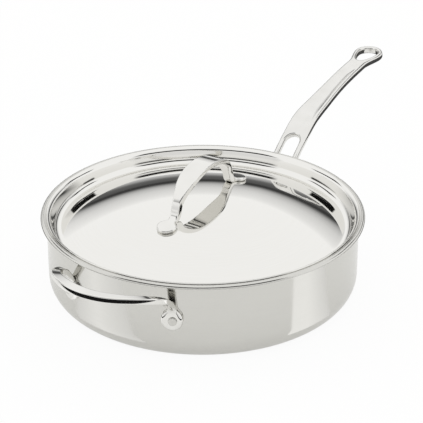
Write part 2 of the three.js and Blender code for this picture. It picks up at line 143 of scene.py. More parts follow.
def line(start: Array, end: Array, margin: float = 0.6, most: float = 0.3) -> Array:
    """Two inner points of a straight stretch, near its ends, so that its shading stays flat.

    Args:
        start: first end.
        end: last end.
        margin: distance of the points from the ends.
        most: largest share of the stretch that this distance may be.

    Returns:
        The two points, without the ends.
    """
    start, end = np.asarray(start, float), np.asarray(end, float)
    step = (end - start) * min(margin / np.linalg.norm(end - start), most)
    return np.stack([start + step, end - step])


def turned(outline: Array, segments: int) -> Surface:
    """Carry an outline round the Z axis: each point (r, z) gives the ring (r cos a, r sin a, z).

    Args:
        outline: points from the axis below, outwards, and back to the axis above.
        segments: number of steps round the axis.

    Returns:
        A closed surface with one point at each pole.
    """
    angle = np.arange(segments) * 2 * np.pi / segments
    rings = outline[1:-1, [0, 0, 1]][:, None, :] * ring(angle, height=1.0)
    poles = np.array([[0, 0, outline[0, 1]], [0, 0, outline[-1, 1]]])
    here = np.arange(segments)
    there = (here + 1) % segments
    bottom = rings.shape[0] * segments
    last = bottom - segments
    fans = [rows_of(bottom, there, here), rows_of(bottom + 1, last + here, last + there)]
    points = np.concatenate([rings.reshape(-1, 3), poles])
    return Surface(points, [grid_faces(rings.shape[0], segments, True), *fans])


def smooth_line(points: Array, steps: int) -> Array:
    """Centripetal Catmull-Rom line: a cubic between each two points, with tangents from their neighbours.

    Args:
        points: points that the line runs through.
        steps: samples between two points.

    Returns:
        Close points along the line.
    """
    before, after = 2 * points[0] - points[1], 2 * points[-1] - points[-2]
    held = np.concatenate([[before], points, [after]])
    knot = np.sqrt(np.linalg.norm(np.diff(held, axis=0), axis=1))[:, None]
    p0, p1, p2, p3 = held[:-3], held[1:-2], held[2:-1], held[3:]
    k0, k1, k2 = knot[:-2], knot[1:-1], knot[2:]
    t1 = k1 * ((p1 - p0) / k0 - (p2 - p0) / (k0 + k1) + (p2 - p1) / k1)
    t2 = k1 * ((p2 - p1) / k1 - (p3 - p1) / (k1 + k2) + (p3 - p2) / k2)
    w = np.linspace(0, 1, steps, endpoint=False)[None, :, None]
    p1, p2, t1, t2 = (a[:, None, :] for a in (p1, p2, t1, t2))
    square, cube = 3 * p2 - 3 * p1 - 2 * t1 - t2, 2 * p1 - 2 * p2 + t1 + t2
    curve = p1 + t1 * w + square * w**2 + cube * w**3
    return np.concatenate([curve.reshape(-1, points.shape[1]), points[-1:]])


def smoothstep(value: Array, low: float, high: float) -> Array:
    """Rise from 0 to 1 between two values, level at both ends."""
    t = np.clip((value - low) / (high - low), 0, 1)
    return t * t * (3 - 2 * t)


def spread(start: float, end: float, step: float) -> Array:
    """Even places from start to end, about a step apart."""
    return np.linspace(start, end, max(2, int(round(abs(end - start) / step)) + 1))


def mix(low: float | Array, high: float | Array, share: Array) -> Array:
    """Pass from one value to another by a share."""
    return low + (high - low) * share


def unit(vectors: Array) -> Array:
    """Each vector divided by its length."""
    return vectors / np.linalg.norm(vectors, axis=-1, keepdims=True)


@dataclass
class Track:
    """A path that a forged bar follows: its points, its direction there and the length up to them."""

    middle: Array
    along: Array
    place: Array

    @classmethod
    def through(cls, points: Array) -> "Track":
        """Track through close points, with tangents from their differences."""
        place = np.concatenate([[0], np.cumsum(np.linalg.norm(np.diff(points, axis=0), axis=1))])
        return cls(points, unit(np.gradient(points, place, axis=0)), place)

    def at(self, place: Array) -> "Track":
        """Read the track at other places along it, on straight lines between its points.

        Args:
            place: lengths along the track.

        Returns:
            The track with one point at each of these places.
        """
        middle, along = (rows_of(*(np.interp(place, self.place, column) for column in known.T))
                         for known in (self.middle, self.along))
        return Track(middle, unit(along), place)


@dataclass
class Plan:
    """Plan and thickness of a forged bar, one value for each place along its track."""

    half_width: Array
    gap: Array
    half_thickness: Array
    edge: Array

    @property
    def open_rows(self) -> Array:
        """Whether the gap is open between each row and the next."""
        return (self.gap[:-1] > 0) | (self.gap[1:] > 0)

    def edge_distance(self, place: Array, side: Array) -> Array:
        """Distance in the plan from each point to the nearest edge of the metal.

        Args:
            place: distance of each row along the track.
            side: distances of the points from the middle line, row by row.

        Returns:
            The least distance to any segment of the outer edge, the edge of the gap and the two ends.
        """
        outer, inner = rows_of(place, self.half_width), rows_of(place, self.gap)
        foot = np.stack([outer[[0, -1]] * [1, 0], outer[[0, -1]]])
        start = np.concatenate([outer[:-1], inner[:-1][self.open_rows], foot[0]])
        step = np.concatenate([outer[1:], inner[1:][self.open_rows], foot[1]]) - start
        points = rows_of(place[:, None], side).reshape(-1, 1, 2)
        share = np.sum((points - start) * step, axis=-1) / np.sum(step * step, axis=-1)
        nearest = start + np.clip(share, 0, 1)[..., None] * step
        return np.linalg.norm(points - nearest, axis=-1).min(axis=1).reshape(side.shape)


def forged_bar(track: Track, across: Array, plan: Plan,
               hollow: Callable[[Array], Array] | None = None,
               edge_steps: int = 7, flat_steps: int = 6) -> Surface:
    """Flat bar with rounded edges along a track, with a gap along its middle where the plan has one.

    Row i, column j lies at middle_i + across_i * y_ij + up_i * h_ij. y runs from one outer edge to the
    gap and from the gap to the other outer edge, in steps that shrink to each edge as 1 - cos does. With
    d the distance in the plan to the nearest edge and r the rounding, a face stands at the half
    thickness, less r - sqrt(r^2 - (r - d)^2) where d is less than r.

    Args:
        track: middle line, one row for each place.
        across: direction of the width at each place.
        plan: widths, gap, thickness and rounding at each place.
        hollow: gives the depth of a hollow in the upper face for distances from the middle line.
        edge_steps: columns over each rounding.
        flat_steps: columns between the roundings.

    Returns:
        A closed surface, whose two halves meet point on point along the middle line.
    """
    rows = len(track.place)
    up = unit(np.cross(track.along, across))
    steps = 1 - np.cos(np.linspace(0, np.pi / 2, edge_steps + 1))
    room = (plan.half_width - plan.gap) / 2
    # In a narrow bar the two roundings stop just short of each other.
    turn = np.minimum(plan.edge, 0.98 * room)[:, None]
    inner = plan.gap[:, None] + turn * steps
    outer = plan.half_width[:, None] - turn * steps[::-1]
    flat = np.linspace(0, 1, flat_steps + 1)[1:-1]
    between = mix(inner[:, -1:], outer[:, :1], flat)
    half = np.concatenate([inner, between, outer], axis=1)
    columns = half.shape[1]
    distance = plan.edge_distance(track.place, half)
    edge = np.minimum(plan.edge, plan.half_thickness)[:, None]
    near = edge - np.minimum(distance, edge)
    height = plan.half_thickness[:, None] - edge + np.sqrt(np.maximum(edge**2 - near**2, 0))
    top = height if hollow is None else height - hollow(half)
    y = np.concatenate([-half[:, ::-1], half], axis=1)
    sheets = []
    for sign, level in ((1, top), (-1, height)):
        both = sign * np.concatenate([level[:, ::-1], level], axis=1)
        raised = across[:, None] * y[..., None] + up[:, None] * both[..., None]
        sheets.append((track.middle[:, None] + raised).reshape(-1, 3))
    wide = 2 * columns
    cells = grid_faces(rows, wide, False)
    cells = cells[cells[:, 0] % wide != columns - 1]
    count = rows * wide
    faces = [cells[:, ::-1], cells + count]
    row = np.arange(rows - 1)
    open_here = row[plan.open_rows]
    walls = ((0, row), (wide - 1, row), (columns - 1, open_here), (columns, open_here))
    pairs = [(wall * wide + column, (wall + 1) * wide + column) for column, wall in walls]
    column = np.delete(np.arange(wide - 1), columns - 1)
    pairs += [(end * wide + column, end * wide + column + 1) for end in (0, rows - 1)]
    faces += [rows_of(here, there, there + count, here + count) for here, there in pairs]
    return Surface(np.concatenate(sheets), faces)


def footed_track(points: Array, radius: float, step: float) -> tuple[Track, Array]:
    """Track of a bar on two round feet, with rows closer round the feet and the same from both ends.

    Args:
        points: close points of the bar's middle line.
        radius: radius of the feet.
        step: distance of the rows between the feet.

    Returns:
        The track, and the distance of each row from the nearer end.
    """
    course = Track.through(points)
    length = course.place[-1]
    foot = radius * (1 - np.cos(np.linspace(END_ANGLE, np.pi / 2, 16)))
    first = np.concatenate([foot, spread(radius, length / 2, step)[1:]])
    place = np.concatenate([first, length - first[-2::-1]])
    return course.at(place), np.minimum(place, length - place)


def footed_half(end: Array, radius: float, half: Array) -> Array:
    """Half width of a bar on round feet: a half circle, and after it the wider of circle and bar."""
    disc = np.sqrt(np.maximum(radius**2 - (end - radius)**2, 0))
    return np.where(end < radius, disc, np.maximum(disc, half))


def new_object(name: str, points: Array, faces: list[list[int]], material: Material) -> Object:
    """Make an object from points in millimetres and link it into the scene.

    Args:
        name: name of the object and its mesh.
        points: one row for each point.
        faces: point numbers of each face.
        material: its one material.

    Returns:
        The new object, at the origin, with its mesh in metres.
    """
    mesh = bpy.data.meshes.new(name)
    mesh.from_pydata((points * MM).tolist(), [], faces)
    mesh.materials.append(material)
    made = bpy.data.objects.new(name, mesh)
    bpy.context.scene.collection.objects.link(made)
    return made


def make_piece(name: str, surface: Surface, body: Body, nodes: list[str],
               material: Material) -> None:
    """Lay a surface into a mesh, close its seams and hang it on its body.

    Args:
        name: name of the new object.
        surface: closed shape in millimetres.
        body: CAD body that it rides on.
        nodes: CAD nodes that it stands for.
        material: finish of the piece.
    """
    faces = [face for group in surface.faces for face in group.tolist()]
    piece = new_object(name, surface.points, faces, material)
    mesh = piece.data
    shape = bmesh.new()
    shape.from_mesh(mesh)
    bmesh.ops.remove_doubles(shape, verts=shape.verts, dist=1e-7)
    bmesh.ops.recalc_face_normals(shape, faces=shape.faces)
    shape.to_mesh(mesh)
    shape.free()
    mesh.shade_smooth()
    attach(piece, body.value)
    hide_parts(*nodes)
    LOG.info("%s: %d faces, rides on %s", name, len(mesh.polygons), body.value)


# Finishes


def linear(hex_colour: str) -> tuple[float, float, float, float]:
    """Turn an sRGB hex colour into linear red, green, blue and alpha."""
    shares = [int(hex_colour[i:i + 2], 16) / 255 for i in (1, 3, 5)]
    return (*(v / 12.92 if v <= 0.04045 else ((v + 0.055) / 1.055) ** 2.4 for v in shares), 1.0)


def add_node(tree: NodeTree, kind: str, settings: dict[Any, Any] | None = None,
             links: dict[Any, NodeSocket] | None = None) -> Node:
    """Add one node with its settings and links.

    Args:
        tree: node tree of a material or the world.
        kind: Blender's name for the kind of node, after its first word ShaderNode.
        settings: values of the node's sockets, by name or number, or of its own properties.
        links: what is linked into its sockets, by name or number.

    Returns:
        The new node.
    """
    node = tree.nodes.new(f"ShaderNode{kind}")
    for key, value in (settings or {}).items():
        if isinstance(key, int) or key in node.inputs:
            node.inputs[key].default_value = value
        else:
            setattr(node, key, value)
    for key, source in (links or {}).items():
        tree.links.new(source, node.inputs[key])
    return node


def new_tree(name: str) -> tuple[Material, NodeTree]:
    """Make an empty node material.

    Args:
        name: name of the material.

    Returns:
        The material and its node tree.
    """
    material = bpy.data.materials.new(name)
    material.use_nodes = True
    material.node_tree.nodes.clear()
    return material, material.node_tree


@dataclass(frozen=True)
class Metal:
    """Bare metal whose tone, gloss and height follow one fine pattern."""

    name: str
    light: str
    dark: str
    roughness: float
    roughness_spread: float
    pattern_size: float
    pattern_depth: float
    # values between which nearly all of the worn pattern lies
    worn_range: ClassVar[tuple[float, float]] = (0.3, 0.7)

    def pattern(self, tree: NodeTree, place: NodeSocket) -> tuple[NodeSocket, NodeSocket]:
        """Add the nodes of the pattern and give it as it was made and as it was worn."""
        raise NotImplementedError

    def material(self) -> Material:
        """Build the finish from its pattern.

        Returns:
            A metal that reads the object's own coordinates.
        """
        material, tree = new_tree(self.name)
        fine, worn = self.pattern(tree, add_node(tree, "TexCoord").outputs["Object"])
        tone = add_node(tree, "Mix", {"data_type": "RGBA", 6: linear(self.dark), 7: linear(self.light)},
                        {0: fine})
        gloss = add_node(tree, "MapRange",
                         {"From Min": self.worn_range[0], "From Max": self.worn_range[1],
                          "To Min": self.roughness - self.roughness_spread,
                          "To Max": self.roughness + self.roughness_spread}, {"Value": worn})
        bump = add_node(tree, "Bump", {"Strength": 1.0, "Distance": self.pattern_depth * MM},
                        {"Height": fine})
        metal = add_node(tree, "BsdfPrincipled", {"Metallic": 1.0},
                         {"Base Color": tone.outputs[2], "Roughness": gloss.outputs[0],
                          "Normal": bump.outputs[0]})
        add_node(tree, "OutputMaterial", links={"Surface": metal.outputs[0]})
        return material


@dataclass(frozen=True)
class TurnedSteel(Metal):
    """Metal that was brushed or polished while it turned, so its fine lines run round the axis."""

    worn_range: ClassVar[tuple[float, float]] = (0.6, 1.4)
    line_length: ClassVar[float] = 60.0
    smears: ClassVar[float] = 25.0

    def pattern(self, tree: NodeTree, place: NodeSocket) -> tuple[NodeSocket, NodeSocket]:
        """Noise drawn out round the axis: its third coordinate is radius plus height.

        Args:
            tree: node tree of the material.
            place: the object's own coordinates.

        Returns:
            The lines, and the lines with the smears of handling added.
        """
        flat = add_node(tree, "VectorMath", {"operation": "MULTIPLY", 1: (1, 1, 0)}, {0: place})
        radius = add_node(tree, "VectorMath", {"operation": "LENGTH"}, {0: flat.outputs[0]})
        # The tool's lines are as far apart as pattern_size, and line_length times as long.
        across = 1 / (self.pattern_size * MM)
        along = across / self.line_length
        out = add_node(tree, "Math", {"operation": "MULTIPLY", 1: across}, {0: radius.outputs["Value"]})
        lift = add_node(tree, "CombineXYZ", links={2: out.outputs[0]})
        lines = add_node(tree, "VectorMath", {"operation": "MULTIPLY_ADD", 1: (along, along, across)},
                         {0: place, 2: lift.outputs[0]})
        noise = add_node(tree, "TexNoise", {"Scale": 1.0, "Detail": 2.0}, {"Vector": lines.outputs[0]})
        # Handling leaves soft smears about 40 mm wide, which is 25 to a metre.
        smear = add_node(tree, "TexNoise", {"Scale": self.smears, "Detail": 2.0}, {"Vector": place})
        worn = add_node(tree, "Math", {"operation": "ADD"},
                        {0: noise.outputs["Fac"], 1: smear.outputs["Fac"]})
        return noise.outputs["Fac"], worn.outputs[0]


@dataclass(frozen=True)
class PolishedCasting(Metal):
    """Steel that was ground and buffed by hand, with faint waves left by the wheel."""

    def pattern(self, tree: NodeTree, place: NodeSocket) -> tuple[NodeSocket, NodeSocket]:
        """Soft waves as long as pattern_size, which wear leaves as they are.

        Args:
            tree: node tree of the material.
            place: the object's own coordinates.

        Returns:
            The waves as they were made, and the same waves as worn.
        """
        wave = add_node(tree, "TexNoise", {"Scale": 1 / (self.pattern_size * MM), "Detail": 1.0},
                        {"Vector": place}).outputs["Fac"]
        return wave, wave


# Drawn and turned bowl: a satin outside that still shows soft images of what stands near it.
BOWL_STEEL = TurnedSteel("stainless_steel_satin_turned", "#D5D4D0", "#CFCEC9", 0.13, 0.03, 0.6, 0.0003)
# Spun lid: polished to a mirror, with the last fine rings of the buffing wheel.
LID_STEEL = TurnedSteel("stainless_steel_mirror_turned", "#EAE9E6", "#E6E5E1", 0.04, 0.015, 0.5, 0.0002)
# Cast long handle: brushed to a satin, so its images are softer than on the two buffed handles.
GRIP_STEEL = PolishedCasting("stainless_steel_casting_brushed", "#E9E8E5", "#DDDCD8",
                             0.12, 0.03, 12.0, 0.008)
# Cast helper and lid handles: buffed by hand, brighter than the bowl.
HANDLE_STEEL = PolishedCasting("stainless_steel_casting_buffed", "#EAE9E6", "#E2E1DD",
                               0.06, 0.02, 14.0, 0.01)
# Rivets: struck and left satin, duller than the handles that they hold.
RIVET_STEEL = PolishedCasting("stainless_steel_rivet_struck", "#D6D5D1", "#CBCAC5", 0.2, 0.04, 3.0, 0.004)
# Aluminium core: bare rolled sheet, dull and a little bluer than the steel.
CORE_ALUMINIUM = TurnedSteel("aluminium_rolled_bare", "#CDCFD1", "#BFC1C4", 0.42, 0.06, 0.8, 0.002)


# Pieces


@dataclass
class Bowl:
    """Clad bowl: an outer skin, an aluminium core and a liner that follow one line at their own depth."""

    inner_radius: float = 140.0
    height: float = LIP_HEIGHT
    liner: float = 0.5
    core: float = 1.6
    skin: float = 0.5
    bond: float = 0.05
    corner_radius: float = 17.5
    flare_radius: float = 5.0
    lip_width: float = 3.03
    lip_tilt: float = 18.0
    rim_seal: float = 1.4
    edge_reach: float = 3.9
    edge_drop: float = 0.9
    edge_corner: float = 0.7
    segments: int = 240
    wall: float = field(init=False)
    outer_radius: float = field(init=False)
    edge_depth: float = field(init=False)
    flare_centre: Array = field(init=False)
    corner_centre: Array = field(init=False)
    lip_along: Array = field(init=False)
    lip_normal: Array = field(init=False)

    def __post_init__(self) -> None:
        """Work out the wall, the depth of the lip's edge and the centres of the two bends."""
        tilt = math.radians(self.lip_tilt)
        self.wall = self.liner + self.core + self.skin + 2 * self.bond
        self.outer_radius = self.inner_radius + self.wall
        self.edge_depth = self.wall + self.edge_drop - self.edge_corner
        self.lip_along = np.array([math.cos(tilt), math.sin(tilt)])
        self.lip_normal = np.array([-math.sin(tilt), math.cos(tilt)])
        middle, bend = self.wall / 2, self.corner_radius
        rise = (self.flare_radius - middle) * self.lip_normal[1] + self.lip_width * self.lip_along[1]
        self.flare_centre = np.array([self.inner_radius + self.flare_radius, self.height - middle - rise])
        self.corner_centre = np.array([self.inner_radius - bend, self.wall + bend])

    def lip_point(self, along: float, depth: float) -> Array:
        """Point on the lip, along it from the flare and behind its upper face."""
        return self.flare_centre + self.lip_normal * (self.flare_radius - depth) + self.lip_along * along

    def wall_line(self, depth: float, lip_length: float) -> Array:
        """Line from the axis to the lip: floor, corner arc, wall, flare arc and lip.

        Args:
            depth: distance behind the cooking surface.
            lip_length: straight part of the lip that is kept.

        Returns:
            Points of the line, with the axis first.
        """
        corner = arc(self.corner_centre, self.corner_radius + depth, -90, 0, 18)
        flare = arc(self.flare_centre, self.flare_radius - depth, 180, 90 + self.lip_tilt, 12)
        middle = np.array([0, self.wall - depth])
        edge = self.lip_point(lip_length, depth)
        return np.concatenate([[middle], line(middle, corner[0]), corner, line(corner[-1], flare[0]),
                               flare, line(flare[-1], edge, 0.3), [edge]])

    def layer(self, inside: float, outside: float) -> Surface:
        """One clad layer, which ends under the sealed rim: out on its lower line, back on its upper one.

        Args:
            inside: depth of its upper face behind the cooking surface.
            outside: depth of its lower face.

        Returns:
            A closed surface.
        """
        length = self.lip_width - self.rim_seal - self.bond
        lines = [self.wall_line(outside, length), self.wall_line(inside, length)[::-1]]
        return turned(np.concatenate(lines), self.segments)

    def lip_arc(self, along: float, length: float, height: float, first: float, last: float) -> Array:
        """Arc of an ellipse round a point in the edge of the lip, from one angle to another.

        Args:
            along: place of the point along the lip.
            length: half axis along the lip.
            height: half axis across it.
            first: angle at which the arc starts, in degrees.
            last: angle at which it ends.

        Returns:
            Points of radius and height.
        """
        turn = np.radians(np.linspace(first, last, 13))[:, None]
        middle = self.lip_point(along, self.edge_depth)
        return middle + self.lip_along * length * np.cos(turn) + self.lip_normal * height * np.sin(turn)

    def outer_skin(self) -> Surface:
        """Skin with the rolled edge of the lip: its own line, a small corner, a quarter ellipse, and back.

        Returns:
            A closed surface.
        """
        seal, foot = self.lip_width - self.rim_seal, self.edge_reach - self.edge_corner
        corner = self.lip_arc(foot, self.edge_corner, self.edge_corner, -90, 0)
        edge = self.lip_arc(seal, self.edge_reach - seal, self.edge_depth, 0, 90)
        back = self.wall_line(self.wall - self.skin, seal)[::-1]
        front = self.wall_line(self.wall, seal)
        return turned(np.concatenate([front, corner, edge[1:], back]), self.segments)

    def build(self, steel: Material, aluminium: Material) -> None:
        """Make the three layers and hang them on the pan.

        Args:
            steel: finish of the skin and the liner.
            aluminium: finish of the core.
        """
        inside = self.liner + self.bond
        core = self.layer(inside, inside + self.core)
        make_piece("bowl_outer_skin", self.outer_skin(), Body.PAN, ["pan_outer_skin"], steel)
        make_piece("bowl_core", core, Body.PAN, ["pan_aluminium_core"], aluminium)
        liner = self.layer(0, self.liner)
        make_piece("bowl_liner", liner, Body.PAN, ["pan_inner_liner"], steel)


Places = dict[str, tuple[float, float, float]]


def rivet_pair(handle: str, middle: float, turn: float, height: float, grip: float) -> Places:
    """Azimuth, height and grip of the rivets on both sides of a handle's middle, by CAD node."""
    sides = (("left", middle + turn), ("right", middle - turn))
    return {f"{handle}_rivet_{side}": (azimuth, height, grip) for side, azimuth in sides}


@dataclass
class Rivets:
    """Solid rivets through the wall: a low round head inside, a shank, and a set tail on the handle."""

    bowl: Bowl
    shank_radius: float = 3.0
    head_radius: float = 6.0
    head_height: float = 1.8
    tail_radius: float = 3.9
    tail_height: float = 0.7
    tail_sink: float = 1.0
    tail_edge: float = 0.5
    head_gap: float = 0.2
    seat_gap: float = 0.35
    segments: int = 48

    def outline(self, grip: float) -> Array:
        """Outline from the crown of the head to the flat of the tail, both softly rounded.

        Args:
            grip: thickness of the metal that is held on the wall.

        Returns:
            Points of radius and distance from the pan's axis.
        """
        head = self.bowl.inner_radius - self.head_gap
        tail = self.bowl.outer_radius + self.seat_gap + grip
        turn = np.linspace(0, 1, 11) * np.pi / 2
        crown = rows_of(self.head_radius * np.sin(turn), head - self.head_height * np.cos(turn))
        step, top = tail - self.tail_sink, tail + self.tail_height
        neck = np.array([[self.shank_radius, head], [self.shank_radius, step], [self.tail_radius, step]])
        rim = arc(np.array([self.tail_radius, top]) - self.tail_edge, self.tail_edge, 0, 90, 6)
        flat = line(rim[-1], [0, top], 0.4)[:1]
        return np.concatenate([crown, neck, rim, flat, [[0, top]]])

    def build(self, nodes: Places, steel: Material) -> None:
        """Set each rivet through the wall.

        Args:
            nodes: azimuth in degrees, height and grip for each CAD node.
            steel: finish of the rivets.
        """
        for node, (azimuth, height, grip) in nodes.items():
            lay_down = Matrix.Rotation(math.radians(90), 4, "Y")
            swing = Matrix.Translation((0, 0, height)) @ Matrix.Rotation(math.radians(azimuth), 4, "Z")
            shape = turned(self.outline(grip), self.segments).moved(swing @ lay_down)
            make_piece(f"{node}_set", shape, Body.PAN, [node], steel)


@dataclass
class LongHandle:
    """Forked cast handle with a hollowed grip and a hanging eye, on a flange bent to the wall."""

    bowl: Bowl
    fork_width: float = 26.0
    grip_width: float = 20.0
    neck_width: float = 19.0
    eye_width: float = 30.0
    thickness: float = 7.6
    edge: float = 2.6
    trough: float = 2.4
    trough_border: float = 2.6
    trough_end: float = 158.0
    trough_lead: float = 4.0
    trough_ease: float = 16.0
    slot_width: float = 16.0
    slot_end: float = 35.0
    fork_taper: float = 90.0
    hole_length: float = 32.0
    hole_width: float = 20.0
    hole_border: float = 5.0
    flange_width: float = 48.0
    flange_height: float = 24.0
    flange_thickness: float = 4.5
    flange_drop: float = 27.0
    flange_edge: float = 1.2
    rivet_spacing: float = 28.0
    root: float = 1.5
    fork_step: float = 1.5
    grip_step: float = 2.5
    flange_step: float = 2.0
    least_step: float = 0.01
    # reach from the wall and rise from the top of the lip
    course: tuple[tuple[float, float], ...] = (
        (2, -20), (17, -6), (34, 6), (54, 18), (86, 26), (129, 34.5), (160, 38.5), (209.7, 43.0))

    @property
    def tip(self) -> float:
        """Reach of the far end."""
        return self.course[-1][0]

    def half_width(self, reach: Array) -> Array:
        """Half the width: a fork that narrows to the grip, a waist, and a round eye.

        Args:
            reach: distances from the wall.

        Returns:
            One half width for each reach.
        """
        middle = self.tip - self.eye_width / 2
        eye_start = self.tip - 2 * self.hole_border - self.hole_length
        taper = smoothstep(reach, self.slot_end, self.slot_end + self.fork_taper)
        share = np.clip((reach - self.slot_end) / (eye_start - self.slot_end), 0, 1)
        bar = mix(self.fork_width, mix(self.grip_width, self.neck_width, share), taper)
        flare = mix(bar, self.eye_width, smoothstep(reach, eye_start, middle))
        round_end = np.clip((reach - middle) / (self.tip - middle), 0, 1)
        return np.where(reach > middle, self.eye_width * np.sqrt(1 - round_end**2), flare) / 2

    def hole_line(self) -> Array:
        """Half of the teardrop hole: a cubic from its narrow end, then a quarter circle.

        Returns:
            Points of reach and half width.
        """
        radius = self.hole_width / 2
        far = self.tip - self.hole_border
        near, middle = far - self.hole_length, far - radius
        t = np.linspace(0, 1, 15)[:, None]
        held = np.array([[near, 0], [near, radius / 2], [middle - radius, radius], [middle, radius]])
        weights = np.concatenate([(1 - t)**3, 3 * t * (1 - t)**2, 3 * t**2 * (1 - t), t**3], axis=1)
        return np.concatenate([weights @ held, arc(np.array([middle, 0]), radius, 90, 0, 12)[1:]])

    def gap(self, reach: Array) -> Array:
        """Half width of the slot or the hole at each reach, 0 where the metal is whole.

        Args:
            reach: distances from the wall.

        Returns:
            One half width for each reach.
        """
        half = self.slot_width / 2
        beyond = np.clip((reach - self.slot_end + half) / half, 0, 1)
        slot = np.where(reach < self.slot_end, half * np.sqrt(1 - beyond**2), 0)
        hole = self.hole_line()
        teardrop = np.interp(reach, hole[:, 0], hole[:, 1], left=0, right=0)
        return np.maximum(slot, np.where(teardrop < 1e-6, 0, teardrop))

    def stations(self) -> Array:
        """Reaches of the rows, closer where an edge turns across the handle.

        Returns:
            Rising reaches from the flange to the tip.
        """
        quarter = np.linspace(0, np.pi / 2, 13)
        turn = self.edge * (1 - np.cos(quarter))
        half = self.slot_width / 2
        hole = self.hole_line()[:, 0]
        eye = self.eye_width / 2
        parts = [spread(self.root, self.slot_end - half, self.fork_step),
                 self.slot_end - half + half * np.sin(quarter),
                 self.slot_end + turn,
                 spread(self.slot_end + self.edge, hole[0] - self.edge, self.grip_step),
                 hole[0] - turn, hole, hole[-1] + turn,
                 self.tip - eye + eye * np.sin(np.linspace(0.6, TIP_ANGLE, 16))]
        rows = np.unique(np.round(np.concatenate(parts), 4))
        return rows[np.diff(rows, prepend=0) > self.least_step]

    def bar(self) -> Surface:
        """Fork, grip and eye in one: a forged bar whose gap is the slot and then the hole.

        Returns:
            A closed surface.
        """
        reach = self.stations()
        points = np.array(self.course) + [self.bowl.outer_radius, self.bowl.height]
        course = Track.through(smooth_line(np.insert(points, 1, 0, axis=1), 40))
        track = course.at(np.interp(reach + self.bowl.outer_radius, course.middle[:, 0], course.place))
        across = np.broadcast_to(SIDEWAYS, track.middle.shape)
        half = self.half_width(reach)
        plan = Plan(half, self.gap(reach), np.full(len(reach), self.thickness / 2),
                    np.full(len(reach), self.edge))
        depth = self.trough * smoothstep(reach, self.slot_end - self.trough_lead,
                                         self.slot_end + self.trough_ease)
        depth = depth * (1 - smoothstep(reach, self.trough_end - self.trough_ease, self.trough_end))
        bed = (half - self.trough_border)[:, None]

        def hollow(side: Array) -> Array:
            """Depth of the trough: a parabola over its bed, and 0 on its borders."""
            return depth[:, None] * np.clip(1 - (side / bed)**2, 0, 1)

        return forged_bar(track, across, plan, hollow, flat_steps=12)

    def flange(self) -> Surface:
        """Plate with round ends, bent round the wall.

        Returns:
            A closed surface.
        """
        end = self.flange_height / 2
        straight = self.flange_width / 2 - end
        bow = straight + end * np.sin(np.linspace(0, TIP_ANGLE, 16))
        place = np.concatenate([-bow[::-1], spread(-straight, straight, self.flange_step)[1:-1], bow])
        radius = self.bowl.outer_radius + self.flange_thickness / 2
        angle = place / radius
        middle = ring(angle, radius, self.bowl.height - self.flange_drop)
        along = rows_of(-np.sin(angle), np.cos(angle), 0)
        over = np.clip((np.abs(place) - straight) / end, 0, 1)
        rows = np.ones(len(place))
        plan = Plan(end * np.sqrt(1 - over**2), 0 * rows, rows * self.flange_thickness / 2,
                    rows * self.flange_edge)
        return forged_bar(Track(middle, along, place), np.broadcast_to(UP, middle.shape), plan)

    def build(self, steel: Material) -> None:
        """Make the handle and hang it on the pan."""
        shape = joined(self.bar(), self.flange())
        make_piece("long_handle_cast", shape, Body.PAN, ["long_handle"], steel)

    def rivet_places(self) -> Places:
        """Places of the two rivets in the flange."""
        turn = math.degrees(math.asin(self.rivet_spacing / 2 / self.bowl.outer_radius))
        return rivet_pair("long_handle", 0, turn, self.bowl.height - self.flange_drop, self.flange_thickness)


